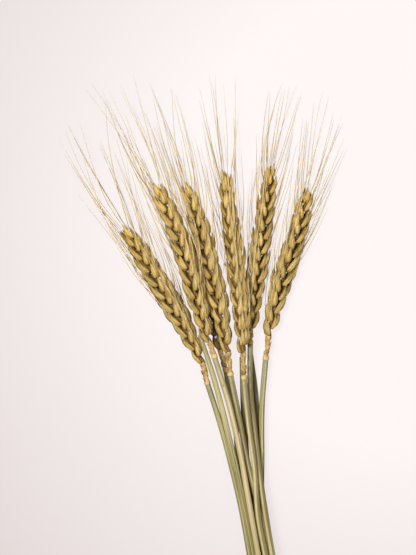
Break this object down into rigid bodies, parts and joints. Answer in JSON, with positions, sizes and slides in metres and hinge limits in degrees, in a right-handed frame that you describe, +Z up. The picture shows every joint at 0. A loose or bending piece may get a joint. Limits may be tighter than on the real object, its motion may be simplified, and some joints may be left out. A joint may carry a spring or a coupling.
{
  "type": "bundle of dried wheat",
  "caption": "Loose bundle of dried bearded wheat lying on its side: bare straw stems gathered together that fan out into long-awned ears.",
  "frame": {"origin": "on the surface that the bundle lies on, under the middle of its bounding box", "axes": "+Y from the cut ends towards the ears and awns, +Z up from the surface"},
  "size_m": [0.1358, 0.3602, 0.0227],
  "materials": {
    "straw": "dried straw, smooth and slightly waxy, with fine lengthwise ribs",
    "rachis": "dried rachis and bract scales, rough and papery",
    "chaff": "dried glumes and awns, matt with a faint sheen"
  },
  "bodies": {
    "root": {"stem_1": "straw", "stem_2": "straw", "stem_3": "straw", "stem_4": "straw", "stem_5": "straw", "stem_6": "straw", "stem_7": "straw", "stem_bare_left": "straw", "stem_bare_middle": "straw", "stem_bare_right": "straw", "ear_foot_1": "rachis", "ear_foot_2": "rachis", "ear_foot_3": "rachis", "ear_foot_4": "rachis", "ear_foot_5": "rachis", "ear_foot_6": "rachis", "ear_foot_7": "rachis", "ear_1": "chaff", "ear_2": "chaff", "ear_3": "chaff", "ear_4": "chaff", "ear_5": "chaff", "ear_6": "chaff", "ear_7": "chaff"}
  },
  "joints": []
}
